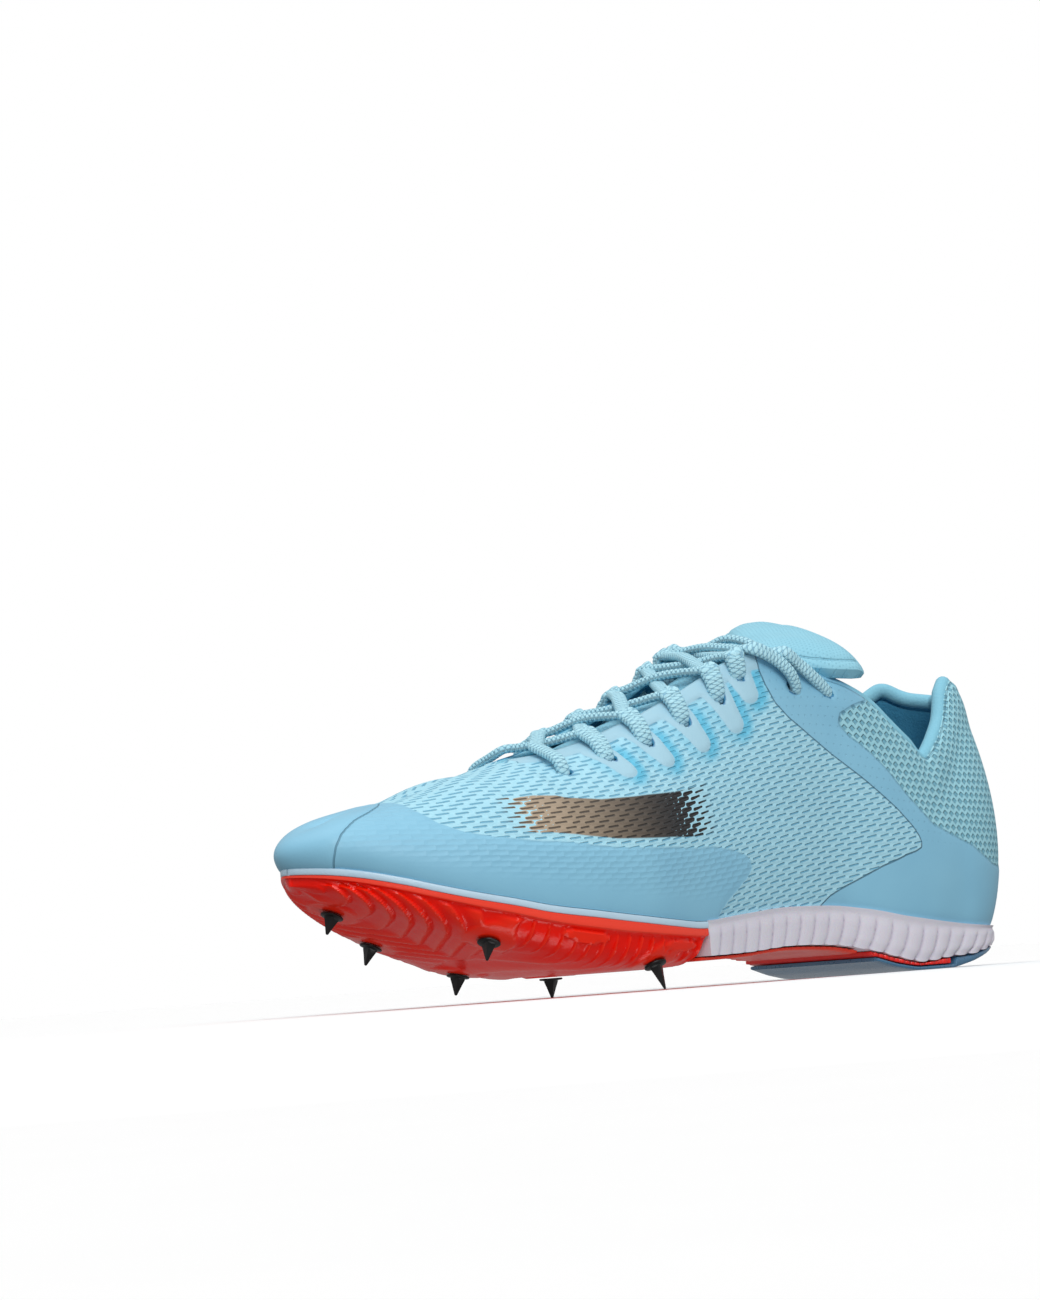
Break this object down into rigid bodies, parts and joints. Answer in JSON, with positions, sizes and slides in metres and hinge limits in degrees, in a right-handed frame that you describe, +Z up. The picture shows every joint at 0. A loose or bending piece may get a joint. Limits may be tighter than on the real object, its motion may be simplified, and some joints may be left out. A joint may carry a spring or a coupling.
{
  "type": "track spike shoe",
  "caption": "Low left track spike shoe with a hollow knit upper, padded collar and tongue, laced throat, ribbed heel foam and a studded forefoot plate.",
  "frame": {"origin": "middle of the flat spot under the heel, on the floor", "axes": "+Z up, -X towards the toe, -Y towards the outer side of the left foot"},
  "size_m": [0.2908, 0.0896, 0.1159],
  "materials": {
    "upper_knit": "light blue film-backed knit",
    "tongue_pad": "soft padded light blue cloth",
    "sock_liner": "dark blue brushed cloth",
    "heel_foam": "matt off-white foam",
    "board": "pale blue satin",
    "plate": "glossy red-orange moulding",
    "clear_rubber": "cloudy blue rubber",
    "insert": "satin red",
    "lace": "flat woven cord",
    "spike": "black steel"
  },
  "bodies": {
    "root": {"upper": "upper_knit", "tongue": "tongue_pad", "insole": "sock_liner", "midsole": "heel_foam", "forefoot_board": "board", "spike_plate": "plate", "heel_outsole": "clear_rubber", "heel_insert": "insert", "lace": "lace", "spike_1": "spike", "spike_2": "spike", "spike_3": "spike", "spike_4": "spike", "spike_5": "spike", "spike_6": "spike"}
  },
  "joints": []
}
